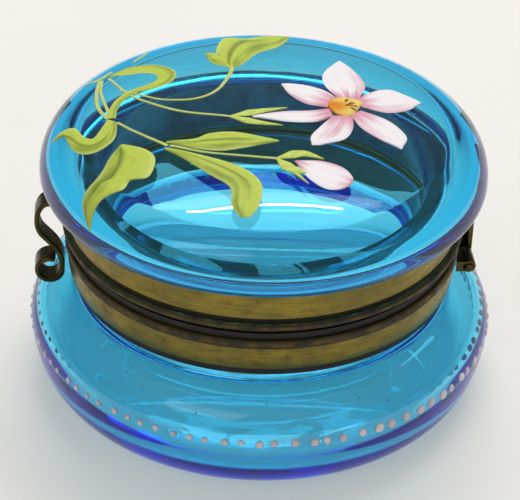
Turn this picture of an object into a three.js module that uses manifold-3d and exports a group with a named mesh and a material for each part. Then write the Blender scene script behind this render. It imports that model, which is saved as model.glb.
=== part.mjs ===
// A round pill box of clear blue glass, with a hinged glass lid and brass mounts.
// Millimetres, +Z up. The origin is the centre of the foot, on the surface it stands on.
// The hinge is at the back, towards +Y, and the clasp at the front, towards -Y.

import * as THREE from "three";
import { mergeVertices } from "three/addons/utils/BufferGeometryUtils.js";
import Module from "manifold-3d";

const wasm = await Module();
wasm.setup();

// Clearances
const fitGap = 0.3; // between brass and the glass or brass that it is fixed to
const partingGap = 0.3; // between the two collars when the lid is shut
const runningGap = 0.1; // round the hinge pin
const springGap = 0.15; // between the clasp and the rib that it passes

// Glass body, from the foot up
const bodyOverhang = 6.8; // how far the widest ring stands out beyond the neck
const shoulderReach = 8.7; // how far in from the widest ring the shoulder runs
const underReach = 5.3; // how far in from the widest ring the rounded underside runs
const bellyHeight = 9.4; // the widest ring above the foot
const shoulderRise = 6.4;
const wall = 2.2;
const floorThickness = 3.0;
const bowlCornerReach = 5.0; // how far in from the wall the bowl's rounded lower corner runs
const footWidth = 3.5;
const footRecess = 0.6;
const filletReach = 1.5; // the concave fillet between shoulder and neck
const filletRise = 1.3;
const filletPull = 0.325; // height on the neck that the fillet's curve aims at

// Neck that both glasses share, and the brass over it
const neckRadius = 26.9;
const bandThickness = 0.9; // brass at the flat band of the base collar
const lidBandThickness = 0.95;
const lipThickness = 0.35; // brass at the thin lower edge of the base collar
const flangeThickness = 0.5; // brass that turns in over the rim of the glass
const rebateDepth = 0.3; // how far the meeting edges stand back from the bands

// Mouldings of the base collar, from its lower edge up
const flareHeight = 2.9;
const flareShoulder = 1.45; // height on the flare where it has nearly reached the band
const bandHeight = 1.7;
const ribHeight = 1.4;
const ribProud = 0.35;
const rebateHeight = 0.95;

// Mouldings of the lid collar, from its lower edge up
const lidRebateHeight = 0.5;
const lidRibHeight = 1.2;
const lidRibProud = 0.65;
const coveHeight = 0.55;
const coveDepth = 0.25;
const coveRound = 0.275; // height of the cove's hollow corner
const lidBandHeight = 4.2;

// Glass lid
const lidOverhang = 4.8; // how far the lid's widest ring stands out beyond the neck
const lidUnderReach = 3.5; // how far in from it the rounded underside runs
const lidUnderRise = 2.7;
const lidSideThickness = 3.7; // glass at the lid's widest ring
const lidInnerRound = 1.6; // the round inside the lid, above the neck
const lidCavityRound = 3.6; // the round between side and crown, inside
const lidShoulderRadius = 6.24;
const crownRadius = 130;

// Hinge
const barrelRadius = 1.0;
const pinRadius = 0.5;
const pinProud = 0.2; // how far the pin stands out of each end
const hingeLength = 13.2;
const lidKnuckleLength = 4.8;
const knuckleGap = 0.3;
const barrelDrop = 4.25; // pin below the base collar's top edge
const barrelStandoff = 0.1; // barrel beyond the usual gap from the band
const webHeight = 1.6; // brass that ties each base knuckle to the collar
const strapThickness = 0.6;
const padHeight = 3.4;
const padLength = 8;

// Clasp, one bent strip
const claspWidth = 3.5;
const claspThickness = 0.7;
const claspFootHeight = 1.1;
const claspBend = 1.0;
const hookReach = 1.7; // half the hook's width, to the strip's middle
const hookHeight = 2.9; // half the hook's height
const hookDrop = 2.1; // top of the hook below the lid collar's top edge
const hookOut = 2.5; // middle of the hook outside the lid's band
const hookSweep = 145; // degrees of the hook's round, from its top outwards and down
const hookRun = 1.9; // how far the strip runs on in its heading before it bends down
const scrollRadius = 1.8;
const scrollDrop = 7.15; // middle of the scroll below the lower edge of the lid collar
const scrollLead = 3.1; // where the strip comes upright, above the middle of the scroll
const scrollTail = 0.9; // straight stretch above the middle of the scroll
const scrollTurn = 295; // degrees of the scroll, from the collar side round to its free end

// Smoothness
const turnSegments = 48;
const smallSegments = 14;

// Heights and radii that follow from the sizes above
const bodyRadius = neckRadius + bodyOverhang;
const lidRadius = neckRadius + lidOverhang;
const collarBore = neckRadius + fitGap;
const bandRadius = collarBore + bandThickness;
const lidBandRadius = collarBore + lidBandThickness;
const neckBore = neckRadius - wall;
const shoulderCentre = bodyRadius - shoulderReach;
const footRadius = bodyRadius - underReach;
const filletFoot = neckRadius + filletReach;
const shoulderAngle = Math.acos((filletFoot - shoulderCentre) / shoulderReach);
const filletBottom = bellyHeight + shoulderRise * Math.sin(shoulderAngle);
const neckStart = filletBottom + filletRise;
const collarBottom = neckStart + fitGap;
const bandBottom = collarBottom + flareHeight;
const ribBottom = bandBottom + bandHeight;
const rebateBottom = ribBottom + ribHeight;
const collarTop = rebateBottom + rebateHeight;
const lidBottom = collarTop + partingGap;
const lidRibBottom = lidBottom + lidRebateHeight;
const coveBottom = lidRibBottom + lidRibHeight;
const lidBandBottom = coveBottom + coveHeight;
const lidCollarTop = lidBandBottom + lidBandHeight;
const lidSeat = lidCollarTop + fitGap;
const rimHeight = lidSeat + lidUnderRise;
const ribRadius = bandRadius + ribProud;
const lidRibRadius = lidBandRadius + lidRibProud;
const hingeY = bandRadius + fitGap + barrelStandoff + barrelRadius;
const hingeZ = collarTop - barrelDrop;

const glass = new THREE.MeshStandardMaterial({
  color: 0x74c4e4, roughness: 0.05, metalness: 0, transparent: true, opacity: 0.45,
});
const brass = new THREE.MeshStandardMaterial({ color: 0x6d6233, roughness: 0.42, metalness: 0.9 });
const darkBrass = new THREE.MeshStandardMaterial({ color: 0x3c3a2c, roughness: 0.5, metalness: 0.85 });

const radians = THREE.MathUtils.degToRad;

// Points on an ellipse about (centre, height), in the half plane of radius and height
function arc(centre, height, reach, rise, from, to, steps) {
  return Array.from({ length: steps + 1 }, (_, i) => {
    const angle = from + ((to - from) * i) / steps;
    return new THREE.Vector2(centre + reach * Math.cos(angle), height + rise * Math.sin(angle));
  });
}

function point(radius, height) {
  return new THREE.Vector2(radius, height);
}

// Signed volume, positive when the faces point out
function volume(geometry) {
  const corners = geometry.index
    ? Array.from(geometry.index.array)
    : Array.from({ length: geometry.attributes.position.count }, (_, i) => i);
  const [a, b, c] = [new THREE.Vector3(), new THREE.Vector3(), new THREE.Vector3()];
  let sum = 0;
  for (let i = 0; i < corners.length; i += 3) {
    a.fromBufferAttribute(geometry.attributes.position, corners[i]);
    b.fromBufferAttribute(geometry.attributes.position, corners[i + 1]);
    c.fromBufferAttribute(geometry.attributes.position, corners[i + 2]);
    sum += a.dot(b.cross(c)) / 6;
  }
  return sum;
}

// One closed solid with shared corners and outward faces
function solidOf(geometry) {
  const bare = geometry.clone();
  for (const name of Object.keys(bare.attributes)) {
    if (name !== "position") bare.deleteAttribute(name);
  }
  const merged = mergeVertices(bare, 1e-5);
  const corners = Array.from(merged.index.array);
  const faces = [];
  for (let i = 0; i < corners.length; i += 3) {
    const [a, b, c] = corners.slice(i, i + 3);
    if (a !== b && b !== c && c !== a) faces.push(...(volume(geometry) > 0 ? [a, b, c] : [a, c, b]));
  }
  return new wasm.Manifold(new wasm.Mesh({
    numProp: 3,
    vertProperties: new Float32Array(merged.attributes.position.array),
    triVerts: new Uint32Array(faces),
  }));
}

function geometryOf(solid) {
  const mesh = solid.getMesh();
  const geometry = new THREE.BufferGeometry();
  geometry.setAttribute("position", new THREE.BufferAttribute(mesh.vertProperties, 3));
  geometry.setIndex(new THREE.BufferAttribute(mesh.triVerts, 1));
  geometry.computeVertexNormals();
  return geometry;
}

// A profile of radius and height, turned once about the vertical axis
function turned(profile, segments = turnSegments) {
  return solidOf(new THREE.LatheGeometry(profile, segments).rotateX(Math.PI / 2));
}

// An outline in Y and Z, carried along X and centred on x
function acrossX(outline, length, x = 0) {
  const geometry = new THREE.ExtrudeGeometry(new THREE.Shape(outline), {
    depth: length, bevelEnabled: false,
  });
  geometry.translate(0, 0, -length / 2);
  const turn = new THREE.Matrix4().makeBasis(
    new THREE.Vector3(0, 1, 0), new THREE.Vector3(0, 0, 1), new THREE.Vector3(1, 0, 0));
  return solidOf(geometry.applyMatrix4(turn).translate(x, 0, 0));
}

// A block from its lowest corner to its highest
function block([x0, y0, z0], [x1, y1, z1]) {
  return solidOf(new THREE.BoxGeometry(x1 - x0, y1 - y0, z1 - z0)
    .translate((x0 + x1) / 2, (y0 + y1) / 2, (z0 + z1) / 2));
}

// A round bar on the hinge axis
function hingeBar(radius, length, x = 0) {
  return solidOf(new THREE.CylinderGeometry(radius, radius, length, smallSegments)
    .rotateZ(Math.PI / 2).translate(x, hingeY, hingeZ));
}

// What stands in the way of a piece that is fixed round the collars
function collarCore(radius) {
  const tall = lidCollarTop * 2;
  return turned([point(0, 0), point(radius, 0), point(radius, tall), point(0, tall)], turnSegments * 2);
}

function glassBase() {
  const half = Math.PI / 2;
  const innerReach = shoulderReach - wall;
  const innerRise = shoulderRise - wall;
  const neckAngle = Math.acos((neckBore - shoulderCentre) / innerReach);
  const fillet = new THREE.QuadraticBezierCurve(
    point(filletFoot, filletBottom), point(neckRadius, filletBottom + filletPull),
    point(neckRadius, neckStart));
  const rim = collarTop - flangeThickness - fitGap;
  const footInside = footRadius - footWidth;
  const bowlCorner = bodyRadius - wall - bowlCornerReach;
  return turned([
    point(0, footRecess),
    point(footInside - footRecess, footRecess),
    point(footInside, 0),
    ...arc(footRadius, bellyHeight, underReach, bellyHeight, -half, 0, 7),
    ...arc(shoulderCentre, bellyHeight, shoulderReach, shoulderRise, 0, shoulderAngle, 6).slice(1),
    ...fillet.getPoints(3).slice(1),
    point(neckRadius, rim),
    point(neckBore, rim),
    ...arc(shoulderCentre, bellyHeight, innerReach, innerRise, neckAngle, 0, 4),
    ...arc(bowlCorner, bellyHeight, bowlCornerReach, bellyHeight - floorThickness, 0, -half, 4).slice(1),
    point(0, floorThickness),
  ]);
}

function baseCollar() {
  const half = Math.PI / 2;
  const rebateRadius = bandRadius - rebateDepth;
  const flare = new THREE.QuadraticBezierCurve(
    point(collarBore + lipThickness, collarBottom), point(bandRadius, collarBottom + flareShoulder),
    point(bandRadius, bandBottom));
  return turned([
    point(collarBore, collarBottom),
    ...flare.getPoints(3),
    point(bandRadius, ribBottom),
    ...arc(bandRadius, ribBottom + ribHeight / 2, ribProud, ribHeight / 2, -half, half, 5).slice(1),
    point(rebateRadius, rebateBottom),
    point(rebateRadius, collarTop),
    point(neckBore, collarTop),
    point(neckBore, collarTop - flangeThickness),
    point(collarBore, collarTop - flangeThickness),
    point(collarBore, collarBottom),
  ]);
}

function lidCollar() {
  const half = Math.PI / 2;
  const rebateRadius = lidBandRadius - rebateDepth;
  const cove = new THREE.QuadraticBezierCurve(
    point(lidBandRadius, coveBottom), point(lidBandRadius - coveDepth, coveBottom),
    point(lidBandRadius - coveDepth, coveBottom + coveRound));
  return turned([
    point(neckBore, lidBottom),
    point(rebateRadius, lidBottom),
    point(rebateRadius, lidRibBottom),
    ...arc(lidBandRadius, lidRibBottom + lidRibHeight / 2, lidRibProud, lidRibHeight / 2, -half, half, 5),
    ...cove.getPoints(2).slice(1),
    point(lidBandRadius, lidBandBottom),
    point(lidBandRadius, lidCollarTop),
    point(collarBore, lidCollarTop),
    point(collarBore, lidBottom + flangeThickness),
    point(neckBore, lidBottom + flangeThickness),
    point(neckBore, lidBottom),
  ]);
}

function glassLid() {
  const half = Math.PI / 2;
  const underCentre = lidRadius - lidUnderReach;
  const lidShoulderCentre = lidRadius - lidShoulderRadius;
  // The crown is one large sphere that meets the small shoulder arc without a corner
  const crownTilt = Math.asin(lidShoulderCentre / (crownRadius - lidShoulderRadius));
  const crownCentre = rimHeight - lidShoulderCentre / Math.tan(crownTilt);
  const rim = lidBottom + flangeThickness + fitGap;
  const cavityRadius = lidRadius - lidSideThickness;
  const cavityCentre = cavityRadius - lidCavityRound;
  const cavityCrown = crownRadius - wall;
  const cavityTilt = Math.asin(cavityCentre / (cavityCrown - lidCavityRound));
  const cavityShoulder = crownCentre + (cavityCrown - lidCavityRound) * Math.cos(cavityTilt);
  return turned([
    ...arc(0, crownCentre, crownRadius, crownRadius, half, half - crownTilt, 4),
    ...arc(lidShoulderCentre, rimHeight, lidShoulderRadius, lidShoulderRadius,
      half - crownTilt, 0, 5).slice(1),
    ...arc(underCentre, rimHeight, lidUnderReach, lidUnderRise, 0, -half, 4).slice(1),
    point(neckRadius, lidSeat),
    point(neckRadius, rim),
    point(neckBore, rim),
    point(neckBore, rimHeight - lidInnerRound),
    ...arc(cavityRadius - lidInnerRound, rimHeight, lidInnerRound, lidInnerRound, -half, 0, 3),
    ...arc(cavityCentre, cavityShoulder, lidCavityRound, lidCavityRound, 0, half - cavityTilt, 4),
    ...arc(0, crownCentre, cavityCrown, cavityCrown, half - cavityTilt, half, 3).slice(1),
  ]);
}

// One of the base's two knuckles, with the web that ties it to the round of the base collar
function hingeKnuckle(side) {
  const bore = pinRadius + runningGap;
  const length = (hingeLength - lidKnuckleLength) / 2 - knuckleGap;
  const middle = side * (hingeLength - length) / 2;
  return hingeBar(barrelRadius, length, middle)
    .add(block(
      [middle - length / 2, 0, hingeZ - webHeight / 2],
      [middle + length / 2, hingeY, hingeZ + webHeight / 2]))
    .subtract(hingeBar(bore, length * 2, middle))
    .subtract(collarCore(bandRadius + fitGap));
}

// The middle knuckle, its strap and the pad that is fixed to the lid collar
function hingeLidLeaf() {
  const bore = pinRadius + runningGap;
  const strapInner = lidRibRadius + fitGap;
  const strapOuter = strapInner + strapThickness;
  const padTop = lidCollarTop - fitGap;
  const padBottom = padTop - padHeight;
  const half = lidKnuckleLength / 2;
  return hingeBar(barrelRadius, lidKnuckleLength)
    .add(block([-half, strapInner, hingeZ], [half, strapOuter, padTop]))
    .add(block([-padLength / 2, 0, padBottom], [padLength / 2, strapOuter, padTop])
      .subtract(collarCore(lidBandRadius + fitGap)))
    .subtract(hingeBar(bore, hingeLength * 2));
}

function hingePin() {
  return hingeBar(pinRadius, hingeLength + 2 * pinProud);
}

// Closed outline of a bent strip, half a thickness to each side of its middle line
function stripOutline(middle, thickness) {
  const edge = (sign) => middle.map((at, i) => {
    const before = middle[Math.max(i - 1, 0)];
    const after = middle[Math.min(i + 1, middle.length - 1)];
    const along = after.clone().sub(before).normalize();
    return at.clone().add(new THREE.Vector2(-along.y, along.x).multiplyScalar(sign * thickness / 2));
  });
  return [...edge(1), ...edge(-1).reverse()];
}

// The clasp hangs from the lid collar: a hook, then a thumb scroll below the rib it catches under
function clasp() {
  const footOut = lidBandRadius + fitGap + claspThickness / 2;
  const hookOutside = lidBandRadius + hookOut;
  const hookTop = lidCollarTop - hookDrop - claspThickness / 2;
  const hookMiddle = hookTop - hookHeight;
  const hookEnd = Math.PI / 2 - radians(hookSweep);
  const scrollSide = ribRadius + springGap + claspThickness / 2;
  const scrollZ = lidBottom - scrollDrop;
  const leave = point(
    hookOutside + hookReach * Math.cos(hookEnd), hookMiddle + hookHeight * Math.sin(hookEnd));
  const heading = point(hookReach * Math.sin(hookEnd), -hookHeight * Math.cos(hookEnd)).normalize();
  const middle = new THREE.Path();
  middle.moveTo(footOut, hookTop + claspBend + claspFootHeight);
  middle.lineTo(footOut, hookTop + claspBend);
  middle.absarc(footOut + claspBend, hookTop + claspBend, claspBend, Math.PI, 1.5 * Math.PI, false);
  middle.lineTo(hookOutside, hookTop);
  middle.absellipse(hookOutside, hookMiddle, hookReach, hookHeight, Math.PI / 2, hookEnd, true, 0);
  middle.bezierCurveTo(
    leave.x + heading.x * hookRun, leave.y + heading.y * hookRun,
    scrollSide, scrollZ + scrollLead,
    scrollSide, scrollZ + scrollTail);
  middle.lineTo(scrollSide, scrollZ);
  middle.absarc(scrollSide + scrollRadius, scrollZ, scrollRadius,
    Math.PI, Math.PI + radians(scrollTurn), false);
  const outline = stripOutline(middle.getPoints(8), claspThickness);
  return acrossX(outline.map((at) => new THREE.Vector2(-at.x, at.y)), claspWidth);
}

const pieces = [
  ["glass_base", glassBase(), glass],
  ["base_collar", baseCollar(), brass],
  ["glass_lid", glassLid(), glass],
  ["lid_collar", lidCollar(), brass],
  ["hinge_knuckle_left", hingeKnuckle(-1), darkBrass],
  ["hinge_knuckle_right", hingeKnuckle(1), darkBrass],
  ["hinge_lid_leaf", hingeLidLeaf(), darkBrass],
  ["hinge_pin", hingePin(), darkBrass],
  ["clasp", clasp(), brass],
];

const group = new THREE.Group();
for (const [name, solid, material] of pieces) {
  const mesh = new THREE.Mesh(geometryOf(solid), material);
  mesh.name = name;
  group.add(mesh);
}

export default group;
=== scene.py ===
import random
from math import acos, asin, atan2, cos, hypot, pi, radians, sin, tan

import bmesh
import bpy
from mathutils import Matrix, Vector


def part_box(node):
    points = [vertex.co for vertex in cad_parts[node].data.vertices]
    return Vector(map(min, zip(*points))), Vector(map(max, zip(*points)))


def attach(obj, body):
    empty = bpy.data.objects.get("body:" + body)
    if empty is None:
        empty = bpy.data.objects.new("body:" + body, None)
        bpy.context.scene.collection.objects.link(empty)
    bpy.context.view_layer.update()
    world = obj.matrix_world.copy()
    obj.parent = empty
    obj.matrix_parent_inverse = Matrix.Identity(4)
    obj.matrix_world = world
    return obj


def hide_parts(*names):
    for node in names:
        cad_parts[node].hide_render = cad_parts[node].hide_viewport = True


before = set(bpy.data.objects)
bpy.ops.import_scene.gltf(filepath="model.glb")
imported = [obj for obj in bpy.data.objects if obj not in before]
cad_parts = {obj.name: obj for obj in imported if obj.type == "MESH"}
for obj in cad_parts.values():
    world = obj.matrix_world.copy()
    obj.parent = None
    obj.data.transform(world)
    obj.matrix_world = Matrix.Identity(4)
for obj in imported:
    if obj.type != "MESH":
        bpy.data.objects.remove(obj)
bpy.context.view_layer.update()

chance = random.Random(7)
MM = 0.001


def extent(node):
    """A node's lowest and highest corners in millimetres."""
    low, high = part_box(node)
    return Vector(low) / MM, Vector(high) / MM


# Sizes that the frame gives
base_high = extent("glass_base")[1]
collar_low, collar_high = extent("base_collar")
lid_collar_low, lid_collar_high = extent("lid_collar")
lid_low, lid_high = extent("glass_lid")
pin_low, pin_high = extent("hinge_pin")
leaf_high = extent("hinge_lid_leaf")[1]
clasp_low, clasp_high = extent("clasp")

body_radius = base_high.x
lid_radius = lid_high.x
base_rim = base_high.z
collar_bottom, collar_top = collar_low.z, collar_high.z
lid_bottom, lid_collar_top = lid_collar_low.z, lid_collar_high.z
lid_rim = lid_low.z
lid_top = lid_high.z
rib_radius = collar_high.x
lid_rib_radius = lid_collar_high.x

# Glass sizes
fit_gap = 0.3
wall = 2.2
floor_thickness = 3.0
foot_width = 3.5
foot_recess = 0.6
belly_height = 9.4
shoulder_reach = 8.7
shoulder_rise = 6.4
under_reach = 5.3
fillet_reach = 1.5
fillet_rise = 1.3
fillet_pull = 0.325
neck_radius = 26.9
crown_radius = 130
lid_shoulder_radius = 6.24
lid_under_reach = 3.5
lid_under_rise = 2.7
lid_side_thickness = 3.7
lid_inner_round = 1.6
lid_cavity_round = 3.6
bowl_corner_reach = 5.0
foot_slope = 6.0
lid_bubbles = 16
lid_bubble_spread = 28
base_bubbles = 14

# Brass sizes
flange = 0.5
lip = 0.35
rebate_depth = 0.3
rib_proud = 0.35
rib_height = 1.4
rebate_height = 0.95
band_height = 1.7
flare_shoulder = 1.45
lid_rib_proud = 0.65
lid_rib_height = 1.2
lid_rebate_height = 0.5
cove_height = 0.55
cove_depth = 0.25
cove_round = 0.275
corner_ease = 0.12
profile_spacing = 0.16
# How much darker the collars' ribs are painted than their flats
rib_darkening = 0.24

# Places that follow
neck_bore = neck_radius - wall
collar_bore = neck_radius + fit_gap
band_radius = rib_radius - rib_proud
lid_band_radius = lid_rib_radius - lid_rib_proud
shoulder_centre = body_radius - shoulder_reach
foot_radius = body_radius - under_reach
fillet_foot = neck_radius + fillet_reach
shoulder_angle = acos((fillet_foot - shoulder_centre) / shoulder_reach)
fillet_bottom = belly_height + shoulder_rise * sin(shoulder_angle)
lid_shoulder_centre = lid_radius - lid_shoulder_radius
crown_tilt = asin(lid_shoulder_centre / (crown_radius - lid_shoulder_radius))
crown_centre = lid_top - crown_radius
rim_height = crown_centre + lid_shoulder_centre / tan(crown_tilt)
crown_arc = crown_radius * crown_tilt
hinge_y = (pin_low.y + pin_high.y) / 2
hinge_z = (pin_low.z + pin_high.z) / 2

# The view of the camera, and the frame that the enamel spray was laid out in
view_turn = radians(85)  # the camera's azimuth round the box
view_rise = radians(33.6)
view_roll = radians(1.73)
view_distance = 291.7
view_target = (-0.2, 18.71)  # to the right of the axis, and up
view_lens = 2000  # pixels per unit of slope in a picture 520 pixels wide
picture_width = 520
sensor_width = 36


def seen(x, y):
    """From the spray's frame, x to the right of the view and y away from it, to the box's own."""
    return x * cos(view_turn) - y * sin(view_turn), x * sin(view_turn) + y * cos(view_turn)


# Colour


def linear(red, green, blue):
    """A display colour of 0 to 255 as the linear colour that shaders use."""
    def channel(value):
        value /= 255
        return value / 12.92 if value <= 0.04045 else ((value + 0.055) / 1.055) ** 2.4
    return channel(red), channel(green), channel(blue), 1.0


def blend(first, second, share):
    share = min(max(share, 0.0), 1.0)
    return tuple(a + (b - a) * share for a, b in zip(first, second))


def ease(value, low, high):
    """0 below low, 1 above high, and smooth between."""
    share = min(max((value - low) / (high - low), 0.0), 1.0)
    return share * share * (3 - 2 * share)


# Shader building


class Shader:
    """A material with its Principled shader, and short calls that add nodes before it."""

    def __init__(self, name, **values):
        self.material = bpy.data.materials.new(name)
        self.material.use_nodes = True
        self.nodes = self.material.node_tree.nodes
        self.links = self.material.node_tree.links
        self.surface = self.nodes["Principled BSDF"]
        self.output = self.nodes["Material Output"]
        self.set(**values)

    def give(self, socket, value):
        if isinstance(value, bpy.types.NodeSocket):
            self.links.new(value, socket)
        elif value is not None:
            socket.default_value = value

    def add(self, kind, inputs=(), **settings):
        node = self.nodes.new(kind)
        for key, value in settings.items():
            setattr(node, key, value)
        for key, value in dict(inputs).items():
            self.give(node.inputs[key], value)
        return node

    def place(self, stretch=(1, 1, 1)):
        coordinates = self.add("ShaderNodeTexCoord").outputs["Object"]
        return self.add(
            "ShaderNodeMapping", {"Vector": coordinates, "Scale": stretch}).outputs["Vector"]

    def noise(self, size, detail=4.0, rough=0.55, stretch=(1, 1, 1), twist=0.0):
        """Noise whose blotches are about size millimetres across."""
        return self.add("ShaderNodeTexNoise", {
            "Vector": self.place(stretch), "Scale": 1 / (size * MM), "Detail": detail,
            "Roughness": rough, "Distortion": twist,
        }).outputs["Fac"]

    def spots(self, size):
        """Distance to the nearest of scattered points that are about size millimetres apart."""
        return self.add("ShaderNodeTexVoronoi", {
            "Vector": self.place(), "Scale": 1 / (size * MM),
        }).outputs["Distance"]

    def band(self, value, low, high, to_low=0.0, to_high=1.0):
        return self.add("ShaderNodeMapRange", {
            "Value": value, "From Min": low, "From Max": high, "To Min": to_low, "To Max": to_high,
        }).outputs["Result"]

    def mix(self, share, first, second, kind="MIX"):
        """Mixes two colours, whose sockets the node counts after those of its other kinds."""
        node = self.add("ShaderNodeMix", data_type="RGBA", blend_type=kind)
        self.give(node.inputs[0], share)
        self.give(node.inputs[6], first)
        self.give(node.inputs[7], second)
        return node.outputs[2]

    def maths(self, operation, first, second=None):
        node = self.add("ShaderNodeMath", operation=operation)
        self.give(node.inputs[0], first)
        self.give(node.inputs[1], second)
        return node.outputs[0]

    def attribute(self, name, output="Fac"):
        return self.add("ShaderNodeAttribute", attribute_name=name).outputs[output]

    def bump(self, height, depth, strength=1.0, under=None):
        """A bump whose full height is depth millimetres."""
        return self.add("ShaderNodeBump", {
            "Height": height, "Distance": depth * MM, "Strength": strength, "Normal": under,
        }).outputs["Normal"]

    def set(self, **values):
        """Gives the surface its inputs, whose names are written with _ for a space."""
        for socket, value in values.items():
            self.give(self.surface.inputs[socket.replace("_", " ")], value)


# The glass takes its blue from its thickness, in which red is lost first
glass_tint = (0.02, 0.848, 0.997, 1)
glass_density = 400.0


def glass_material(name, wave):
    """Clear blue glass, with soft waves that are about wave millimetres long, faint rubbing and
    a few pits."""
    shader = Shader(name, Base_Color=(1, 1, 1, 1), Transmission_Weight=1.0, IOR=1.5)
    rubbed = shader.noise(9, detail=5, rough=0.6)
    scuffs = shader.noise(1.6, detail=6, rough=0.7, stretch=(1, 1, 2.2), twist=0.6)
    worn = shader.maths("MULTIPLY", shader.band(rubbed, 0.5, 0.75), shader.band(scuffs, 0.48, 0.72))
    shader.set(Roughness=shader.band(worn, 0, 1, 0.0, 0.06))
    waves = shader.bump(shader.noise(wave, detail=2, rough=0.4), 0.05)
    pits = shader.bump(shader.band(shader.spots(2.6), 0.0, 0.05), 0.02, 0.6, under=waves)
    shader.set(Normal=pits)
    volume = shader.add("ShaderNodeVolumeAbsorption", {
        "Color": glass_tint, "Density": glass_density,
    })
    shader.links.new(volume.outputs["Volume"], shader.output.inputs["Volume"])
    return shader.material


def brass_material(name, gold, olive, tarnish, grime_and_shade, streak=16):
    """Old brass: turned lines along the round, olive and brown tarnish, dirt held in the hollows with
    painted shade over it, and near-black painted shade on the faces in the gap between the collars.

    Where the vertices' "lining" is 1, the pale cement that holds the glass covers the metal."""
    shader = Shader(name)
    blotch = shader.noise(7, detail=6, rough=0.6, twist=0.4)
    cloud = shader.noise(2.4, detail=6, rough=0.65, stretch=(1, 1, 1.6))
    lines = shader.noise(5, detail=5, rough=0.7, stretch=(1, 1, streak))
    fine = shader.noise(0.5, detail=4, rough=0.7)
    colour = shader.mix(shader.band(blotch, 0.38, 0.62), gold, olive)
    colour = shader.mix(shader.band(lines, 0.42, 0.72, 0.0, 0.65), colour, tarnish)
    colour = shader.mix(shader.band(cloud, 0.55, 0.78, 0.0, 0.4), colour, tarnish)
    colour = shader.mix(shader.band(fine, 0.64, 0.82, 0.0, 0.3), colour, grime_and_shade)
    # Hollows darken towards tarnish: partly patina and dirt, partly painted shade, darkest on the faces
    # in the gap between the collars.
    hollow_dirt_and_shade = shader.attribute("hollow_dirt_and_shade")
    colour = shader.mix(shader.band(hollow_dirt_and_shade, 0.53, 0.61, 0.0, 0.75), colour, tarnish)
    dirt_and_shade = shader.maths("ADD", hollow_dirt_and_shade, shader.band(cloud, 0.3, 0.7, -0.14, 0.14))
    # Where it is deepest the metal is painted as dull soot: caked dirt, and painted shade in the gap
    # between the collars and under the bands.
    caked_and_shaded = shader.band(dirt_and_shade, 0.62, 0.78, 0.0, 0.92)
    colour = shader.mix(caked_and_shaded, colour, grime_and_shade)
    rubbed = shader.band(dirt_and_shade, 0.44, 0.26, 0.0, 0.55)
    colour = shader.mix(rubbed, colour, gold)
    matt = shader.band(dirt_and_shade, 0.5, 0.75, 0.0, 0.3)
    rough = shader.maths("ADD", shader.band(cloud, 0.3, 0.75, 0.26, 0.46), matt)
    dents = shader.bump(shader.noise(3.2, detail=3), 0.05, 0.5)
    scratches = shader.bump(lines, 0.03, 0.5, under=dents)
    grain = shader.bump(fine, 0.02, 0.5, under=scratches)
    lining = shader.attribute("lining")
    cement = shader.mix(shader.band(blotch, 0.4, 0.6), linear(222, 214, 196), linear(128, 116, 98))
    colour = shader.mix(lining, colour, cement)
    rough = shader.maths("MAXIMUM", rough, lining)
    metal = shader.maths("SUBTRACT", 1.0, shader.maths("MAXIMUM", lining, caked_and_shaded))
    shader.set(Base_Color=colour, Roughness=rough, Metallic=metal, Normal=grain)
    return shader.material


def enamel_material(name, worn, rough=0.3, relief=0.03, whole=0.6):
    """Opaque enamel that was laid on by brush: it takes its colour from the piece's own paint.

    worn is the colour of its flecks, of which there are fewer the higher whole is."""
    shader = Shader(name, IOR=1.52)
    paint = shader.attribute("paint", "Color")
    brushed = shader.noise(0.9, detail=5, rough=0.6)
    colour = shader.mix(
        shader.band(brushed, 0.3, 0.75, 0.0, 0.32), paint, linear(255, 255, 250), "SOFT_LIGHT")
    flecks = shader.noise(0.5, detail=4, rough=0.7)
    colour = shader.mix(shader.band(flecks, whole, whole + 0.08, 0.0, 0.85), colour, worn)
    fine = shader.noise(0.25, detail=3)
    shader.set(
        Base_Color=colour,
        Roughness=shader.band(brushed, 0.3, 0.7, rough, rough + 0.18),
        Normal=shader.bump(fine, relief, 0.5, under=shader.bump(brushed, relief * 2, 0.6)))
    return shader.material


def cloth_material():
    """The pale ground that the box stands on. It glows a little by itself."""
    shader = Shader("pale_ground", Roughness=0.9, Emission_Color=(0.88, 0.96, 1.0, 1),
                    Emission_Strength=0.36)
    mottle = shader.noise(60, detail=3)
    colour = shader.mix(mottle, linear(198, 187, 176), linear(205, 195, 184))
    shader.set(Base_Color=colour)
    return shader.material


lid_glass = glass_material("blue_glass_lid", 14)
base_glass = glass_material("blue_glass_base", 18)
gilt = linear(148, 130, 56)
olive = linear(124, 114, 60)
brown = linear(88, 71, 52)
# soot darkens grime specks, and it also paints the shade in the brass's hollows and in the gap between
# the collars.
soot_and_shade = linear(34, 29, 27)
band_brass = brass_material("band_brass", gilt, olive, brown, soot_and_shade)
dark_brass = brass_material(
    "dark_brass", linear(94, 83, 46), linear(66, 60, 37), linear(45, 40, 28), soot_and_shade, streak=1)
leaf_enamel = enamel_material("leaf_enamel", linear(84, 84, 40), whole=0.7)
petal_enamel = enamel_material("petal_enamel", linear(206, 168, 170), rough=0.26, whole=0.7)
bead_enamel = enamel_material("bead_enamel", linear(150, 130, 134), rough=0.36, whole=0.63)


# Profiles of radius and height


def arc(centre, height, reach, rise, start, end, steps):
    angles = [start + (end - start) * i / steps for i in range(steps + 1)]
    return [(centre + reach * cos(a), height + rise * sin(a)) for a in angles]


def pulled(start, pull, end, steps):
    """A curve from start to end that heads for the point pull."""
    points = []
    for i in range(steps + 1):
        t = i / steps
        weights = ((1 - t) ** 2, 2 * t * (1 - t), t * t)
        points.append(tuple(
            sum(w * p[axis] for w, p in zip(weights, (start, pull, end))) for axis in (0, 1)))
    return points


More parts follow.
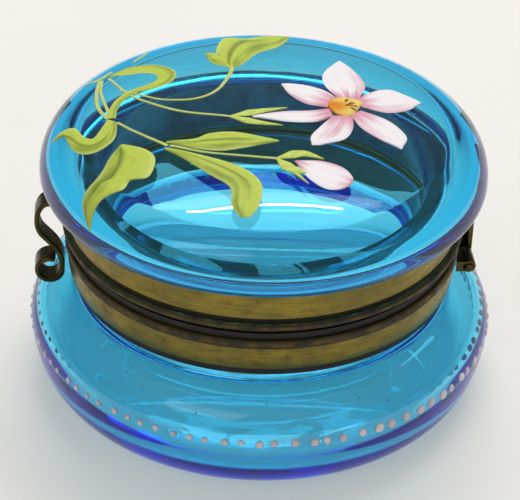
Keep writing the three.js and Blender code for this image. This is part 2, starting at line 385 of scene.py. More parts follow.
def softened(outline, radius, sharpest=radians(20)):
    """A closed outline with each corner eased by a short arc."""
    eased = []
    for i, corner in enumerate(outline):
        here = Vector(corner)
        back = Vector(outline[i - 1]) - here
        on = Vector(outline[(i + 1) % len(outline)]) - here
        if pi - back.angle(on) < sharpest:
            eased.append(corner)
            continue
        reach = min(radius, back.length * 0.45, on.length * 0.45)
        start = here + back.normalized() * reach
        end = here + on.normalized() * reach
        eased += pulled(tuple(start), corner, tuple(end), 3)
    return eased


def resampled(outline, spacing):
    """A closed outline with points added so that none are further apart than spacing."""
    points = []
    for i, start in enumerate(outline):
        end = outline[(i + 1) % len(outline)]
        steps = max(1, round(hypot(end[0] - start[0], end[1] - start[1]) / spacing))
        points += [tuple(a + (b - a) * k / steps for a, b in zip(start, end)) for k in range(steps)]
    return points


def hollowness(outline, reach=3):
    """About 0.5 on the flat, towards 1 in a hollow and towards 0 on an edge, for each point."""
    count = len(outline)
    area = sum(
        outline[i - 1][0] * outline[i][1] - outline[i][0] * outline[i - 1][1] for i in range(count))
    turn = 1 if area > 0 else -1
    values = []
    for i, here in enumerate(outline):
        back = Vector(outline[i - reach])
        on = Vector(outline[(i + reach) % count])
        along = (on - back).normalized()
        outward = Vector((along.y, -along.x)) * turn
        values.append(0.5 + 0.9 * ((back + on) / 2 - Vector(here)).dot(outward))
    return values


# Meshes


def finished(name, mesh, material, body, sharp=30):
    """Gives a mesh its object, smooth shading, material and body."""
    mesh.shade_smooth()
    mesh.set_sharp_from_angle(angle=radians(sharp))
    mesh.materials.append(material)
    piece = bpy.data.objects.new(name, mesh)
    bpy.context.collection.objects.link(piece)
    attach(piece, body)
    return piece


def mesh_of(name, work):
    """A mesh with outward faces, from a bmesh in millimetres."""
    bmesh.ops.remove_doubles(work, verts=work.verts, dist=1e-5)
    bmesh.ops.recalc_face_normals(work, faces=work.faces)
    bmesh.ops.scale(work, vec=(MM, MM, MM), verts=work.verts)
    mesh = bpy.data.meshes.new(name)
    work.to_mesh(mesh)
    work.free()
    return mesh


def turn_into(work, profile, segments, marks=()):
    """Turns a closed profile, or one that ends on the axis, about +Z into the bmesh."""
    rings = []
    for i, (radius, height) in enumerate(profile):
        spots = 1 if radius == 0 else segments
        ring = []
        for k in range(spots):
            angle = 2 * pi * k / segments
            corner = work.verts.new((radius * cos(angle), radius * sin(angle), height))
            for layer, values in marks:
                corner[layer] = values[i]
            ring.append(corner)
        rings.append(ring)
    on_axis = profile[0][0] == 0
    for i in range(len(rings) - (1 if on_axis else 0)):
        low, high = rings[i], rings[(i + 1) % len(rings)]
        for k in range(segments):
            corners = [low[k % len(low)], low[(k + 1) % len(low)],
                       high[(k + 1) % len(high)], high[k % len(high)]]
            unique = list(dict.fromkeys(corners))
            work.faces.new(unique)


def turned(name, profile, segments=192, marks=None):
    """A turned mesh. marks gives vertex values by name, one for each point of the profile."""
    work = bmesh.new()
    marks = marks or {}
    layers = {mark: work.verts.layers.float.new(mark) for mark in marks}
    turn_into(work, profile, segments, [(layer, marks[mark]) for mark, layer in layers.items()])
    return mesh_of(name, work)


def bubble(work, centre, radius, rings=6, segments=10):
    """A small round hollow inside the glass: a ball whose faces point in."""
    matrix = Matrix.Translation(centre)
    made = bmesh.ops.create_uvsphere(
        work, u_segments=segments, v_segments=rings, radius=radius, matrix=matrix)
    faces = {face for vertex in made["verts"] for face in vertex.link_faces}
    bmesh.ops.reverse_faces(work, faces=list(faces))


def add_bubbles(mesh, places):
    """Adds bubbles to a finished mesh. Each place is a centre and a radius in millimetres."""
    work = bmesh.new()
    work.from_mesh(mesh)
    for centre, radius in places:
        bubble(work, Vector(centre) * MM, radius * MM)
    work.to_mesh(mesh)
    work.free()


# Glass


def base_profile():
    half = pi / 2
    inner_reach = shoulder_reach - wall
    neck_angle = acos((neck_bore - shoulder_centre) / inner_reach)
    foot_inside = foot_radius - foot_width
    steps = 12
    foot_ease = [
        (foot_inside - foot_slope * (1 - i / steps), foot_recess * (0.5 + 0.5 * cos(pi * i / steps)))
        for i in range(steps)]
    bowl_corner = body_radius - wall - bowl_corner_reach
    return [
        (0, foot_recess),
        *foot_ease,
        (foot_inside, 0),
        *arc(foot_radius, belly_height, under_reach, belly_height, -half, 0, 28),
        *arc(shoulder_centre, belly_height, shoulder_reach, shoulder_rise, 0, shoulder_angle, 24)[1:],
        *pulled((fillet_foot, fillet_bottom), (neck_radius, fillet_bottom + fillet_pull),
                (neck_radius, fillet_bottom + fillet_rise), 8)[1:],
        (neck_radius, base_rim),
        (neck_bore, base_rim),
        *arc(shoulder_centre, belly_height, inner_reach, shoulder_rise - wall, neck_angle, 0, 20),
        *arc(bowl_corner, belly_height, bowl_corner_reach, belly_height - floor_thickness,
             0, -half, 24)[1:],
        (0, floor_thickness),
    ]


def lid_profile():
    half = pi / 2
    cavity_radius = lid_radius - lid_side_thickness
    cavity_centre = cavity_radius - lid_cavity_round
    cavity_crown = crown_radius - wall
    cavity_tilt = asin(cavity_centre / (cavity_crown - lid_cavity_round))
    cavity_shoulder = crown_centre + (cavity_crown - lid_cavity_round) * cos(cavity_tilt)
    return [
        (0, lid_top),
        *arc(0, crown_centre, crown_radius, crown_radius, half, half - crown_tilt, 16)[1:],
        *arc(lid_shoulder_centre, rim_height, lid_shoulder_radius, lid_shoulder_radius,
             half - crown_tilt, 0, 24)[1:],
        *arc(lid_radius - lid_under_reach, rim_height, lid_under_reach, lid_under_rise,
             0, -half, 14)[1:],
        (neck_radius, rim_height - lid_under_rise),
        (neck_radius, lid_rim),
        (neck_bore, lid_rim),
        (neck_bore, rim_height - lid_inner_round),
        *arc(cavity_radius - lid_inner_round, rim_height, lid_inner_round, lid_inner_round,
             -half, 0, 8),
        *arc(cavity_centre, cavity_shoulder, lid_cavity_round, lid_cavity_round,
             0, half - cavity_tilt, 14),
        *arc(0, crown_centre, cavity_crown, cavity_crown, half - cavity_tilt, half, 12)[1:-1],
        (0, lid_top - wall),
    ]


def crown_place(x, y, depth=0.0):
    """The point of the lid's outside at x, y measured along the glass, and the way out there.

    depth is how far below the surface the point lies."""
    along = hypot(x, y)
    heading = atan2(y, x)
    if along < crown_arc:
        tilt = along / crown_radius
        radius, height = crown_radius * sin(tilt), crown_centre + crown_radius * cos(tilt)
    else:
        tilt = crown_tilt + (along - crown_arc) / lid_shoulder_radius
        radius = lid_shoulder_centre + lid_shoulder_radius * sin(tilt)
        height = rim_height + lid_shoulder_radius * cos(tilt)
    out = Vector((sin(tilt) * cos(heading), sin(tilt) * sin(heading), cos(tilt)))
    return Vector((radius * cos(heading), radius * sin(heading), height)) - out * depth, out


def make_glass():
    lid = turned("lid_glass_blown", lid_profile())
    spots = []
    for _ in range(lid_bubbles):
        angle, reach = chance.uniform(0, 2 * pi), lid_bubble_spread * chance.random() ** 0.5
        spots.append((crown_place(reach * cos(angle), reach * sin(angle), chance.uniform(0.8, 1.4))[0],
                      chance.uniform(0.07, 0.16)))
    add_bubbles(lid, spots)
    piece = finished("lid_glass_blown", lid, lid_glass, "lid", 50)
    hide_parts("glass_lid")

    base = turned("base_glass_blown", base_profile())
    spots = []
    for _ in range(base_bubbles):
        angle = chance.uniform(0, 2 * pi)
        reach = shoulder_reach - wall / 2
        rise = radians(chance.uniform(5, 60))
        spots.append((Vector((cos(angle) * (shoulder_centre + reach * cos(rise)),
                              sin(angle) * (shoulder_centre + reach * cos(rise)),
                              belly_height + (shoulder_rise - wall / 2) * sin(rise))),
                      chance.uniform(0.08, 0.18)))
    add_bubbles(base, spots)
    piece = finished("base_glass_blown", base, base_glass, "base", 50)
    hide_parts("glass_base")


# Brass collars


def base_collar_outline():
    half = pi / 2
    rebate_bottom = collar_top - rebate_height
    rib_bottom = rebate_bottom - rib_height
    band_bottom = rib_bottom - band_height
    return [
        (collar_bore, collar_bottom),
        *pulled((collar_bore + lip, collar_bottom), (band_radius, collar_bottom + flare_shoulder),
                (band_radius, band_bottom), 14),
        (band_radius, rib_bottom),
        *arc(band_radius, rib_bottom + rib_height / 2, rib_proud, rib_height / 2, -half, half, 16)[1:],
        (band_radius - rebate_depth, rebate_bottom),
        (band_radius - rebate_depth, collar_top),
        (neck_bore, collar_top),
        (neck_bore, collar_top - flange),
        (collar_bore, collar_top - flange),
    ]


def lid_collar_outline():
    half = pi / 2
    rib_bottom = lid_bottom + lid_rebate_height
    cove_bottom = rib_bottom + lid_rib_height
    band_bottom = cove_bottom + cove_height
    return [
        (neck_bore, lid_bottom),
        (lid_band_radius - rebate_depth, lid_bottom),
        (lid_band_radius - rebate_depth, rib_bottom),
        *arc(lid_band_radius, rib_bottom + lid_rib_height / 2, lid_rib_proud, lid_rib_height / 2,
             -half, half, 20),
        *pulled((lid_band_radius, cove_bottom), (lid_band_radius - cove_depth, cove_bottom),
                (lid_band_radius - cove_depth, cove_bottom + cove_round), 6)[1:],
        (lid_band_radius, band_bottom),
        (lid_band_radius, lid_collar_top),
        (collar_bore, lid_collar_top),
        (collar_bore, lid_bottom + flange),
        (neck_bore, lid_bottom + flange),
    ]


def collar_dirt_and_shade(profile, flat):
    """The hollowness of a collar's points as dirt and painted shade, with its ribs darker than its
    flats, and its rebates and every other face that lies back from its band painted black as shade.
    """
    values = []
    for (radius, _), value in zip(profile, hollowness(profile)):
        # Every face that lies back from the band, such as the rebates, the faces across the gap between
        # the collars, the cove and the foot of the flare, is painted black as shade.
        if collar_bore + 0.1 < radius < flat - rebate_depth * 0.6:
            value = 1.0
        values.append(value + rib_darkening * ease(radius, flat + 0.05, flat + 0.2))
    return values


def make_collars():
    for name, node, outline, flat, body in (
        ("base_collar_turned", "base_collar", base_collar_outline(), band_radius, "base"),
        ("lid_collar_turned", "lid_collar", lid_collar_outline(), lid_band_radius, "lid"),
    ):
        profile = resampled(softened(outline, corner_ease), profile_spacing)
        cement = [
            1.0 if body == "lid" and radius < collar_bore + 0.05 and height > lid_bottom + flange
            else 0.0 for radius, height in profile]
        marks = {"hollow_dirt_and_shade": collar_dirt_and_shade(profile, flat), "lining": cement}
        piece = finished(name, turned(name, profile, marks=marks), band_brass, body)
        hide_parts(node)


# Enamel


def along_curve(points, steps):
    """A smooth curve through points, at steps + 1 even shares of its length."""
    line = [Vector(p) for p in points]
    line = [2 * line[0] - line[1], *line, 2 * line[-1] - line[-2]]
    fine, parts = [], 12
    for i in range(1, len(line) - 2):
        a, b, c, d = line[i - 1:i + 3]
        for k in range(parts):
            t = k / parts
            fine.append(0.5 * (2 * b + (c - a) * t + (2 * a - 5 * b + 4 * c - d) * t * t
                               + (3 * b - a - 3 * c + d) * t ** 3))
    fine.append(line[-2])
    run = [0.0]
    for a, b in zip(fine, fine[1:]):
        run.append(run[-1] + (b - a).length)
    spaced, at = [], 0
    for i in range(steps + 1):
        want = run[-1] * i / steps
        while at < len(run) - 2 and run[at + 1] < want:
            at += 1
        share = (want - run[at]) / max(run[at + 1] - run[at], 1e-9)
        spaced.append(fine[at].lerp(fine[at + 1], min(share, 1.0)))
    return spaced


enamel_sink = 0.04


def laid_on(name, left, right, paint, material, thickness=0.16, rows=36, columns=14, end=0.09):
    """A stroke of enamel on the lid between two edges that run from its root to its tip.

    paint gives the colour at a share of the length and a share of the width."""
    edges = along_curve(left, rows), along_curve(right, rows)
    work = bmesh.new()
    layer = work.verts.layers.float_color.new("paint")
    top, under = [], []
    for i, (from_edge, to_edge) in enumerate(zip(*edges)):
        u = i / rows
        run_out = ease(u, -0.02, end) * ease(1 - u, -0.02, end)
        row_top, row_under = [], []
        for k in range(columns + 1):
            v = k / columns
            spot = from_edge.lerp(to_edge, v)
            place, out = crown_place(*seen(spot.x, spot.y))
            # Domed across, thin at the edges and the ends, and furrowed by the brush
            body = (1 - abs(2 * v - 1) ** 4) ** 0.5 * run_out
            furrow = 1 - 0.16 * (0.5 + 0.5 * cos(2 * pi * (4 * v + 0.7 * sin(3 * u))))
            colour = paint(u, v)
            for row, height in ((row_top, thickness * (0.14 + 0.86 * body * furrow)),
                                (row_under, -enamel_sink)):
                corner = work.verts.new(place + out * height)
                corner[layer] = colour
                row.append(corner)
        top.append(row_top)
        under.append(row_under)
    for rows_of, flip in ((top, False), (under, True)):
        for i in range(rows):
            for k in range(columns):
                corners = [rows_of[i][k], rows_of[i][k + 1], rows_of[i + 1][k + 1], rows_of[i + 1][k]]
                work.faces.new(reversed(corners) if flip else corners)
    for i in range(rows):
        for k in (0, columns):
            work.faces.new([top[i][k], top[i + 1][k], under[i + 1][k], under[i][k]])
    for k in range(columns):
        for i in (0, rows):
            work.faces.new([top[i][k], top[i][k + 1], under[i][k + 1], under[i][k]])
    piece = finished(name, mesh_of(name, work), material, "lid", 60)


def stroke(name, line, widths, paint, material, thickness=0.14, rows=40):
    """A line of enamel, with its width at even shares of its length."""
    centre = along_curve(line, rows)
    left, right = [], []
    for i, here in enumerate(centre):
        along = (centre[min(i + 1, rows)] - centre[max(i - 1, 0)]).normalized()
        share = i / rows * (len(widths) - 1)
        first = min(int(share), len(widths) - 2)
        width = widths[first] + (widths[first + 1] - widths[first]) * (share - first)
        across = Vector((-along.y, along.x)) * width / 2
        left.append(here + across)
        right.append(here - across)
    laid_on(name, left, right, paint, material, thickness, rows, 6, 0.03)


leaf_light = linear(188, 204, 76)
leaf_pale = linear(210, 221, 116)
leaf_shade = linear(122, 140, 44)
leaf_deep = linear(88, 98, 34)
petal_white = linear(252, 244, 243)
petal_pink = linear(216, 124, 148)
petal_blush = linear(243, 208, 216)
stem_pale = linear(206, 212, 150)


def leaf_paint(shade_side=0.0, vein=0.5):
    """Yellow-green, darker along one side, with a paler rim and an olive vein."""
    def paint(u, v):
        streak = 0.12 * sin(9 * v + 14 * u) + 0.1 * sin(23 * v - 6 * u)
        toward = 1 - abs(v - shade_side)
        colour = blend(leaf_light, leaf_shade, ease(toward + streak, 0.45, 1.0) * 0.85)
        colour = blend(colour, leaf_pale, ease(abs(2 * v - 1), 0.74, 0.96) * 0.75)
        line = 1 - ease(abs(v - vein), 0.02, 0.09)
        return blend(colour, leaf_deep, line * ease(u, 0.0, 0.12) * ease(1 - u, 0.1, 0.4) * 0.75)
    return paint


def petal_paint(pink_side=1.0, root=0.35, strength=0.85, tip=0.0):
    """White that blushes to pink along one side, towards the root and, if asked, at the tip."""
    def paint(u, v):
        streak = 0.06 * sin(17 * v + 3 * u) + 0.04 * sin(41 * v)
        side = ease(1 - abs(v - pink_side) + streak, 0.68, 1.02) * ease(1 - u, 0.05, 0.5)
        foot = ease(1 - u + streak, 0.95 - root, 0.95)
        end = tip * ease(u + streak, 0.7, 1.0)
        colour = blend(petal_white, petal_blush, 0.1 + 1.2 * streak)
        return blend(colour, petal_pink, max(side * 0.8, foot, end) * strength)
    return paint


def even_paint(first, second):
    """Two colours that run into each other along the stroke."""
    def paint(u, v):
        return blend(first, second, 0.5 + 0.35 * sin(21 * u + 5 * v) + 0.2 * sin(57 * u))
    return paint


def make_flower():
    # Each petal: left edge, right edge, pink side, reach of the pink from the root
    petals = (
        ("top", [(10.7, 3.4), (8.3, 8.0), (8.3, 12.4), (10.6, 17.6)],
         [(13.0, 4.2), (14.2, 9.2), (12.8, 14.0), (10.7, 17.5)], 1.0, 0.2),
        ("right", [(12.8, 4.3), (14.6, 6.9), (17.9, 9.0), (22.2, 6.5)],
         [(13.6, 2.3), (17.0, 1.6), (20.0, 3.2), (22.2, 6.3)], 1.0, 0.3),
        ("low_right", [(13.4, 1.3), (17.2, -0.6), (19.6, -4.2), (18.9, -7.4)],
         [(11.9, -0.2), (13.2, -3.4), (15.6, -5.7), (18.7, -7.6)], 1.0, 0.4),
        ("low_left", [(12.2, -0.6), (12.1, -4.0), (10.9, -6.9), (7.6, -8.9)],
         [(9.4, -1.0), (7.6, -4.2), (6.3, -6.9), (6.4, -9.0)], 0.5, 0.5),
        ("left", [(9.4, -1.2), (6.9, -3.1), (2.9, -3.5), (-1.8, -2.6)],
         [(8.9, 0.9), (6.2, -0.1), (2.4, -0.8), (-1.8, -2.3)], 1.0, 0.3),
        ("up_left", [(8.6, 1.2), (5.6, 1.8), (3.3, 4.3), (2.1, 7.3)],
         [(10.4, 3.7), (8.3, 6.2), (5.4, 7.5), (2.3, 7.6)], 0.0, 0.4),
    )
    for name, left, right, pink, root in petals:
        laid_on("petal_" + name, left, right, petal_paint(pink, root), petal_enamel, 0.2)
    orange, yellow = linear(226, 132, 24), linear(238, 208, 104)
    laid_on("flower_eye", [(8.6, 1.6), (9.3, 3.9), (11.4, 4.7), (13.6, 3.6)],
            [(8.7, 1.3), (9.8, -0.5), (12.0, -0.4), (13.7, 3.2)],
            lambda u, v: blend(orange, yellow, ease(u + 0.15 * sin(9 * v), 0.2, 0.75)),
            petal_enamel, 0.3, 20, 12)
    # Each stamen: its middle, and its heading in degrees
    stamens = ((11.3, 3.3, 60), (12.0, 2.6, 20), (12.4, 1.9, -10), (12.2, 1.1, -40), (11.6, 2.0, 10))
    dark, warm = linear(98, 60, 40), linear(176, 120, 60)
    for number, (x, y, heading) in enumerate(stamens):
        reach = Vector((cos(radians(heading)), sin(radians(heading)))) * 0.5
        middle = Vector((x, y))
        stroke("stamen_%d" % number, [middle - reach, middle, middle + reach], (0.3, 0.5, 0.35),
               even_paint(dark, warm), petal_enamel, 0.4, 10)


def make_buds_and_sepals():
    laid_on("bud", [(4.0, -12.9), (7.6, -12.5), (10.5, -13.5), (11.9, -15.4), (11.9, -16.7)],
            [(4.2, -13.2), (5.9, -16.4), (8.2, -18.4), (10.3, -18.3), (11.6, -17.3)],
            petal_paint(0.0, 0.25, 0.85, 1.0), petal_enamel, 0.2)
    # Each sepal: its line, and its width along it
    sepals = (
        ("bud_sepal_upper", [(1.8, -12.5), (5.1, -11.1), (8.0, -12.1)], (0.5, 1.7, 1.2, 0.2)),
        ("bud_sepal_lower", [(1.8, -12.7), (3.6, -14.6), (6.2, -15.6)], (0.5, 1.9, 1.3, 0.2)),
        ("bud_sepal_fine", [(3.0, -14.2), (4.6, -16.0), (6.0, -17.7)], (0.8, 0.6, 0.2)),
        ("flower_sepal_upper", [(-4.8, -2.5), (-1.4, -1.1), (3.0, 0.2)], (0.5, 1.6, 1.0, 0.2)),
        ("flower_sepal_lower", [(-4.8, -2.6), (-1.2, -3.9), (2.4, -4.6)], (0.5, 1.5, 0.9, 0.2)),
    )
    for name, line, widths in sepals:
        stroke(name, line, widths, even_paint(leaf_light, leaf_pale), leaf_enamel, 0.16)


def make_leaves():
    # Each leaf: left edge, right edge, its shaded side, and where its vein runs
    leaves = (
        ("leaf_upper", [(-13.4, -8.4), (-9.6, -8.0), (-7.6, -6.8), (-4.0, -6.5), (1.9, -8.3)],
         [(-13.4, -8.7), (-9.6, -10.3), (-6.2, -11.0), (-3.0, -10.4), (1.9, -8.6)], 1.0, 0.45),
        ("leaf_lower", [(-13.5, -9.8), (-8.2, -12.0), (-3.0, -14.7), (-0.3, -18.0), (-0.4, -22.2),
                        (-1.6, -24.8)],
         [(-13.6, -10.2), (-10.6, -12.9), (-7.2, -16.3), (-4.4, -19.0), (-4.1, -22.6),
          (-2.9, -24.8)], 1.0, 0.42),
        ("leaf_left", [(-19.4, -8.2), (-16.2, -9.9), (-14.7, -12.4), (-15.4, -16.2), (-17.8, -16.7),
                       (-18.7, -18.5), (-21.9, -20.0), (-24.2, -23.2)],
         [(-19.8, -8.4), (-21.0, -11.2), (-21.8, -14.0), (-22.6, -15.8), (-24.0, -17.5),
          (-24.7, -19.1), (-24.7, -21.0), (-24.4, -23.2)], 1.0, 0.72),
        ("leaf_curled", [(-30.2, -4.0), (-28.4, -2.5), (-26.6, -2.6), (-25.2, -5.0), (-23.8, -6.0),
                         (-22.9, -4.0), (-22.1, -1.3)],
         [(-30.0, -4.2), (-28.0, -4.2), (-27.0, -7.0), (-25.3, -9.4), (-23.0, -9.5),
          (-20.7, -6.8), (-20.6, -2.4)], 1.0, 0.6),
        ("leaf_back", [(-5.2, 12.4), (-7.0, 14.8), (-7.6, 20.0), (-6.6, 25.8), (-3.6, 25.5),
                       (-0.4, 27.0), (3.2, 27.4)],
         [(-4.7, 12.4), (-3.2, 14.8), (-1.4, 18.6), (1.0, 21.0), (2.3, 23.2), (3.0, 25.4),
          (3.3, 27.2)], 1.0, 0.4),
        ("leaf_back_lobe", [(-5.6, 13.0), (-8.0, 14.6), (-9.3, 18.5)],
         [(-5.2, 15.6), (-7.2, 18.4), (-9.2, 18.7)], 0.0, 0.9),
    )
    for name, left, right, shade, vein in leaves:
        laid_on(name, left, right, leaf_paint(shade, vein), leaf_enamel, 0.18)
    stroke("leaf_ribbon",
           [(-22.9, 12.4), (-19.6, 13.8), (-16.6, 13.6), (-14.6, 11.6), (-14.7, 9.0), (-16.6, 7.3),
            (-18.9, 6.2), (-20.7, 4.0), (-21.5, 1.2), (-21.6, -1.2)],
           (0.3, 2.8, 3.2, 2.9, 2.6, 1.9, 1.5, 1.3, 1.2, 1.4),
           leaf_paint(0.0, 0.75), leaf_enamel, 0.18, 60)


def make_stems():
    # Each stem: its line, and its width along it
    stems = (
        ("stem_flower", [(-23.0, 11.8), (-20.1, 6.3), (-17.0, 2.8), (-11.6, -0.8), (-4.7, -2.5)],
         (0.5, 0.45, 0.5, 0.45)),
        ("stem_back_leaf", [(-21.0, 7.1), (-17.8, 4.9), (-14.4, 2.9), (-10.0, 2.7), (-7.1, 5.0),
                            (-5.5, 9.5), (-5.0, 13.0)], (0.45, 0.4, 0.5, 0.7)),
        ("stem_pair", [(-20.6, -2.5), (-18.4, -4.9), (-16.2, -6.9), (-13.2, -9.4)], (0.5, 0.45, 0.6)),
        ("stem_bud", [(-12.9, -9.4), (-8.0, -11.3), (-3.3, -12.1), (1.8, -12.6)], (0.5, 0.4, 0.5)),
        ("stem_outer", [(-24.3, 11.3), (-24.4, 7.5), (-23.8, 2.6), (-22.2, -1.0)], (0.5, 0.6, 0.6)),
        ("stem_inner", [(-23.9, 11.2), (-23.7, 6.8), (-22.0, 0.2)], (0.4, 0.5, 0.5)),
        ("stem_rim_left", [(-26.6, 10.7), (-24.6, 11.6), (-22.7, 14.0)], (0.3, 0.6, 0.5)),
        ("stem_rim_back", [(-19.8, 17.1), (-18.6, 19.2), (-17.7, 20.9)], (0.4, 0.5, 0.2)),
    )
    for name, line, widths in stems:
        stroke(name, line, widths, even_paint(stem_pale, leaf_light), leaf_enamel, 0.13)


bead_count = 88
bead_ring = 33.55
bead_height = 9.65
bead_depth = 0.34


def make_beads():
    """A ring of enamel dots round the widest part, larger and more slanted on one side."""
    work = bmesh.new()
    layer = work.verts.layers.float_color.new("paint")
    white, pink = linear(238, 230, 232), linear(216, 198, 206)
    for i in range(bead_count):
        angle = 2 * pi * (i + 0.18 * chance.uniform(-1, 1)) / bead_count
        side = cos(angle - atan2(*reversed(seen(1, -0.35))))
        grown = ease(side, 0.1, 0.9)
        across = (0.5 + 0.2 * grown) * chance.uniform(0.85, 1.12)
        tall = (0.48 + 0.4 * grown) * chance.uniform(0.85, 1.12)
        slant = radians(40 * grown + chance.uniform(-12, 12))
        height = bead_height + chance.uniform(-0.12, 0.12)
        place = (
            Matrix.Rotation(angle, 4, "Z")
            @ Matrix.Translation((bead_ring, 0, height))
            @ Matrix.Rotation(slant, 4, "X")
            @ Matrix.Diagonal((bead_depth, across, tall, 1)))
        made = bmesh.ops.create_uvsphere(
            work, u_segments=14, v_segments=9, radius=1, matrix=place)
        colour = blend(white, pink, chance.random())
        for corner in made["verts"]:
            corner[layer] = colour
    piece = finished("bead_dots", mesh_of("bead_dots", work), bead_enamel, "base", 60)


# Hinge


pin_radius = (pin_high.z - pin_low.z) / 2
barrel_radius = 1.0
bore_radius = pin_radius + 0.1
web_height = 1.6
strap_thickness = 0.6
pad_height = 3.4
pad_length = 8.0
lid_knuckle_length = 4.8
edge_round = 0.12


def bar_into(work, radius, start, end, bore=0.0, segments=40):
    """A round bar or tube on the hinge axis, with softened ends."""
    soft = min(edge_round, radius * 0.3)
    profile = [(bore, start), (radius - soft, start), (radius - soft * 0.3, start + soft * 0.3),
               (radius, start + soft), (radius, end - soft), (radius - soft * 0.3, end - soft * 0.3),
               (radius - soft, end), (bore, end)]
    before = set(work.verts)
    turn_into(work, profile, segments)
    fresh = [corner for corner in work.verts if corner not in before]
    bmesh.ops.rotate(work, cent=(0, 0, 0), matrix=Matrix.Rotation(pi / 2, 3, "Y"), verts=fresh)
    bmesh.ops.translate(work, vec=(0, hinge_y, hinge_z), verts=fresh)


def prism_into(work, outline, low, high, axis="Z"):
    """An outline carried from low to high along an axis, with all its edges bevelled."""
    place = {"Z": lambda a, b, c: (a, b, c), "X": lambda a, b, c: (c, a, b)}[axis]
    ends = [[work.verts.new(place(a, b, level)) for a, b in outline] for level in (low, high)]
    faces = [work.faces.new(ends[0]), work.faces.new(list(reversed(ends[1])))]
    count = len(outline)
    for i in range(count):
        k = (i + 1) % count
        faces.append(work.faces.new([ends[0][i], ends[1][i], ends[1][k], ends[0][k]]))
    edges = {edge for face in faces for edge in face.edges}
    sharp = [edge for edge in edges if edge.calc_face_angle(0) > radians(35)]
    bmesh.ops.bevel(work, geom=sharp, offset=edge_round * 0.7, segments=2, affect="EDGES",
                    clamp_overlap=True)


def round_of(radius, half_width, steps=16):
    """Points on a circle about the box's axis, from x = -half_width to half_width, on the hinge side."""
    reach = asin(half_width / radius)
    angles = [-reach + 2 * reach * i / steps for i in range(steps + 1)]
    return [(radius * sin(a), radius * cos(a)) for a in angles]


def make_hinge():
    steps = 8
    for side, node in (("left", "hinge_knuckle_left"), ("right", "hinge_knuckle_right")):
        low, high = extent(node)
        work = bmesh.new()
        bar_into(work, barrel_radius, low.x, high.x, bore_radius)
        inner = band_radius + fit_gap
        places = [low.x + (high.x - low.x) * i / steps for i in range(steps + 1)]
        across = [(x, (inner ** 2 - x ** 2) ** 0.5) for x in places]
        reach = hinge_y - bore_radius
        web = [*across, (high.x, reach), (low.x, reach)]
        prism_into(work, web, hinge_z - web_height / 2, hinge_z + web_height / 2)
        piece = finished("knuckle_" + side, mesh_of(node, work), dark_brass, "base")
        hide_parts(node)

    strap_inner = leaf_high.y - strap_thickness
    knuckle = lid_knuckle_length / 2
    work = bmesh.new()
    bar_into(work, barrel_radius, -knuckle, knuckle, bore_radius)
    strap = [(strap_inner, hinge_z + bore_radius), (leaf_high.y, hinge_z + bore_radius * 0.5),
             (leaf_high.y, leaf_high.z), (strap_inner, leaf_high.z)]
    prism_into(work, strap, -knuckle, knuckle, "X")
    pad = [*round_of(lid_band_radius + fit_gap, pad_length / 2),
           (pad_length / 2, leaf_high.y), (-pad_length / 2, leaf_high.y)]
    prism_into(work, pad, leaf_high.z - pad_height, leaf_high.z)
    piece = finished("lid_leaf", mesh_of("lid_leaf", work), dark_brass, "lid")
    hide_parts("hinge_lid_leaf")

    work = bmesh.new()
    bar_into(work, pin_radius, pin_low.x, pin_high.x)
    piece = finished("pin", mesh_of("pin", work), dark_brass, "base")
    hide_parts("hinge_pin")


# Clasp

clasp_thickness = 0.7
clasp_width = clasp_high.x - clasp_low.x
clasp_foot = 1.1
clasp_bend = 1.0
hook_reach = 1.7
hook_height = 2.9
hook_drop = 2.1
hook_out = 2.5
hook_sweep = radians(145)
hook_run = 1.9
scroll_radius = 1.8
scroll_drop = 7.15
scroll_lead = 3.1
scroll_tail = 0.9
scroll_turn = radians(295)
spring_gap = 0.15
strip_ease = 0.16


def clasp_line():
    """The middle of the clasp's strip, as distance from the box's axis and height."""
    foot_out = lid_band_radius + fit_gap + clasp_thickness / 2
    hook_outside = lid_band_radius + hook_out
    hook_top = lid_collar_top - hook_drop - clasp_thickness / 2
    hook_middle = hook_top - hook_height
    hook_end = pi / 2 - hook_sweep
    scroll_side = rib_radius + spring_gap + clasp_thickness / 2
    scroll_z = lid_bottom - scroll_drop
    leave = Vector((
        hook_outside + hook_reach * cos(hook_end), hook_middle + hook_height * sin(hook_end)))
    heading = Vector((hook_reach * sin(hook_end), -hook_height * cos(hook_end))).normalized()
    pulls = (leave, leave + heading * hook_run, Vector((scroll_side, scroll_z + scroll_lead)),
             Vector((scroll_side, scroll_z + scroll_tail)))
    swing, steps = [], 24
    for i in range(1, steps + 1):
        t = i / steps
        weights = ((1 - t) ** 3, 3 * t * (1 - t) ** 2, 3 * t * t * (1 - t), t ** 3)
        swing.append(tuple(sum((w * p for w, p in zip(weights, pulls)), Vector((0, 0)))))
    return [
        (foot_out, hook_top + clasp_bend + clasp_foot),
        *arc(foot_out + clasp_bend, hook_top + clasp_bend, clasp_bend, clasp_bend, pi, 1.5 * pi, 10),
        *arc(hook_outside, hook_middle, hook_reach, hook_height, pi / 2, hook_end, 36),
        *swing,
        *arc(scroll_side + scroll_radius, scroll_z, scroll_radius, scroll_radius,
             pi, pi + scroll_turn, 56),
    ]


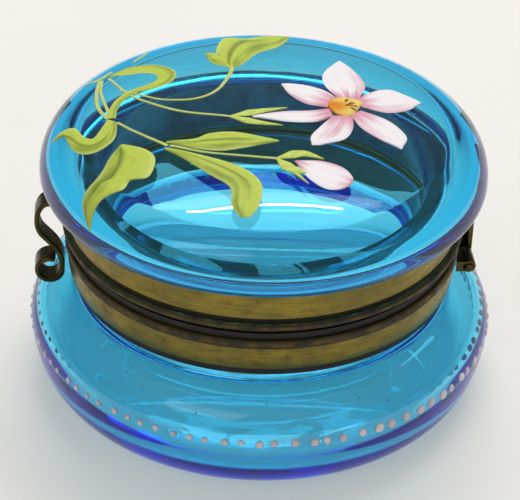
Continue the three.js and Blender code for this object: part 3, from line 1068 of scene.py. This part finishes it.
def make_clasp():
    line = [Vector(p) for p in clasp_line()]
    half = clasp_width / 2
    thick = clasp_thickness / 2
    soft = strip_ease
    # The strip's section: across the strip, and through its thickness
    section = [(-half, -thick + soft), (-half + soft, -thick), (half - soft, -thick),
               (half, -thick + soft), (half, thick - soft), (half - soft, thick),
               (-half + soft, thick), (-half, thick - soft)]
    work = bmesh.new()
    layer = work.verts.layers.float.new("hollow_dirt_and_shade")
    loops = []
    for i, here in enumerate(line):
        along = (line[min(i + 1, len(line) - 1)] - line[max(i - 1, 0)]).normalized()
        through = Vector((-along.y, along.x))
        loop = []
        for across, depth in section:
            at = here + through * depth
            corner = work.verts.new((across, -at.x, at.y))
            corner[layer] = 0.5
            loop.append(corner)
        loops.append(loop)
    for a, b in zip(loops, loops[1:]):
        for k in range(len(section)):
            n = (k + 1) % len(section)
            work.faces.new([a[k], a[n], b[n], b[k]])
    work.faces.new(loops[0])
    work.faces.new(loops[-1])
    piece = finished("clasp_strip", mesh_of("clasp_strip", work), dark_brass, "lid", 40)
    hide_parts("clasp")


# Surroundings


ground_half = 900
ground_sink = 0.02


def make_ground():
    half = ground_half * MM
    mesh = bpy.data.meshes.new("ground")
    corners = [(-half, -half), (half, -half), (half, half), (-half, half)]
    mesh.from_pydata([(x, y, -ground_sink * MM) for x, y in corners], [], [(0, 1, 2, 3)])
    mesh.materials.append(cloth_material())
    ground = bpy.data.objects.new("ground", mesh)
    bpy.context.collection.objects.link(ground)


def softbox(name, azimuth, elevation, distance, width, height, glow, unseen, roll):
    """A lamp in the view's frame: azimuth from straight away, to the right. glow is its brightness.

    An unseen lamp gives light, but glossy surfaces show no image of it. Lengths are metres, and
    azimuth, elevation and roll are degrees."""
    flat = distance * cos(radians(elevation))
    x, y = seen(flat * sin(radians(azimuth)), flat * cos(radians(azimuth)))
    place = Vector((x, y, distance * sin(radians(elevation))))
    data = bpy.data.lights.new(name, "AREA")
    data.shape = "RECTANGLE"
    data.size, data.size_y = width, height
    data.energy = glow * pi * width * height
    lamp = bpy.data.objects.new(name, data)
    lamp.location = place
    lamp.visible_glossy = not unseen
    facing = (-place).to_track_quat("-Z", "Y").to_matrix()
    lamp.rotation_euler = (facing @ Matrix.Rotation(radians(roll), 3, "Z")).to_euler()
    bpy.context.collection.objects.link(lamp)


def make_light():
    world = bpy.data.worlds.new("studio")
    world.use_nodes = True
    background = world.node_tree.nodes["Background"]
    background.inputs["Color"].default_value = (0.86, 0.93, 1.0, 1)
    background.inputs["Strength"].default_value = 0.22
    bpy.context.scene.world = world
    # Each lamp: azimuth, elevation, distance, width, height, glow, unseen, roll
    lamps = (
        ("overhead", 180, 84, 1.6, 2.0, 2.0, 0.32, True, 0.0),
        ("behind", 12, 60, 1.6, 1.2, 0.9, 5.6, True, 0.0),
        ("side_left", -70, 26, 1.5, 1.2, 1.0, 0.35, True, 0.0),
        ("side_right", 75, 26, 1.5, 1.2, 1.0, 0.35, True, 0.0),
        ("front_fill", -150, 48, 1.5, 0.8, 0.5, 1.0, False, 0.0),
        ("tube", 0.4, 54.0, 1.3, 0.40, 0.009, 55.0, False, 6.5),
        ("tube_shade", 0.4, 52.4, 1.32, 0.60, 0.045, 1.6, False, 6.5),
    )
    for lamp in lamps:
        softbox(*lamp)


def make_camera():
    data = bpy.data.cameras.new("view")
    data.sensor_fit = "HORIZONTAL"
    data.sensor_width = sensor_width
    data.lens = sensor_width * view_lens / picture_width
    data.clip_start = 0.01
    right, height = view_target
    target = Vector((*seen(right, 0), height))
    ahead = Vector((*seen(0, cos(view_rise)), -sin(view_rise)))
    level = ahead.cross(Vector((0, 0, 1))).normalized()
    above = level.cross(ahead)
    side = level * cos(view_roll) + above * sin(view_roll)
    up = above * cos(view_roll) - level * sin(view_roll)
    camera = bpy.data.objects.new("view", data)
    rotation = Matrix((side, up, -ahead)).transposed().to_4x4()
    camera.matrix_world = Matrix.Translation((target - ahead * view_distance) * MM) @ rotation
    bpy.context.collection.objects.link(camera)
    bpy.context.scene.camera = camera


scene = bpy.context.scene
scene.view_settings.view_transform = "Standard"
# Light crosses many surfaces of thick glass before it leaves the box
scene.cycles.max_bounces = 24
scene.cycles.glossy_bounces = 16
scene.cycles.transmission_bounces = 24
make_camera()
make_glass()
make_collars()
make_flower()
make_buds_and_sepals()
make_leaves()
make_stems()
make_beads()
make_hinge()
make_clasp()
make_ground()
make_light()
